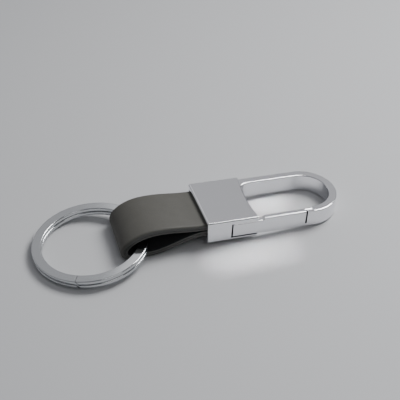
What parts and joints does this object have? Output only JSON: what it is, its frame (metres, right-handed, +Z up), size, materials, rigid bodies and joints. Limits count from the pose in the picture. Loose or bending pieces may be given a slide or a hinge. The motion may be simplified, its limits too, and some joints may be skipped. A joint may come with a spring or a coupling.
{
  "type": "leather keychain",
  "caption": "Leather key fob with a sprung-gate snap hook, a folded strap eye and a split ring.",
  "frame": {"origin": "middle of the footprint, on the surface that the fob lies on", "axes": "+X from the split ring to the hook's open loop, +Z up through the flat block, -Y on the gate's side"},
  "size_m": [0.0846, 0.031, 0.0084],
  "materials": {
    "plated_zinc": "polished plating",
    "plated_steel": "bright plating",
    "spring_steel": "bright drawn wire",
    "grey_leather": "fine grain, matt",
    "dark_lining": "matt"
  },
  "bodies": {
    "hook": {"hook_frame": "plated_zinc", "gate_pivot_pin": "spring_steel", "gate_spring": "spring_steel", "strap_screw_near": "spring_steel", "strap_screw_far": "spring_steel"},
    "gate": {"gate_lever": "plated_zinc"},
    "strap": {"strap_outer_leather": "grey_leather", "strap_lining": "dark_lining"},
    "ring": {"split_ring": "plated_steel"}
  },
  "joints": [
    {"name": "gate_hinge", "type": "hinge", "parent": "hook", "child": "gate", "pos_m": [0.01097, -0.00715, 0.00445], "axis": [0.0628, 0, 0.998], "range_deg": [0, 22], "stiffness_Nm_per_rad": 0.03, "springref_deg": -11.46, "deforming": ["gate_spring"]},
    {"name": "strap_flex", "type": "hinge", "parent": "hook", "child": "strap", "pos_m": [0.00269, 0.0007, 0.00498], "axis": [0, 1, 0], "range_deg": [-35, 35], "stiffness_Nm_per_rad": 0.05, "deforming": ["strap_outer_leather", "strap_lining"]},
    {"name": "ring_spin", "type": "hinge", "parent": "strap", "child": "ring", "pos_m": [-0.02673, 0, 0.00238], "axis": [-0.0785, 0, 0.9969], "continuous": true}
  ]
}
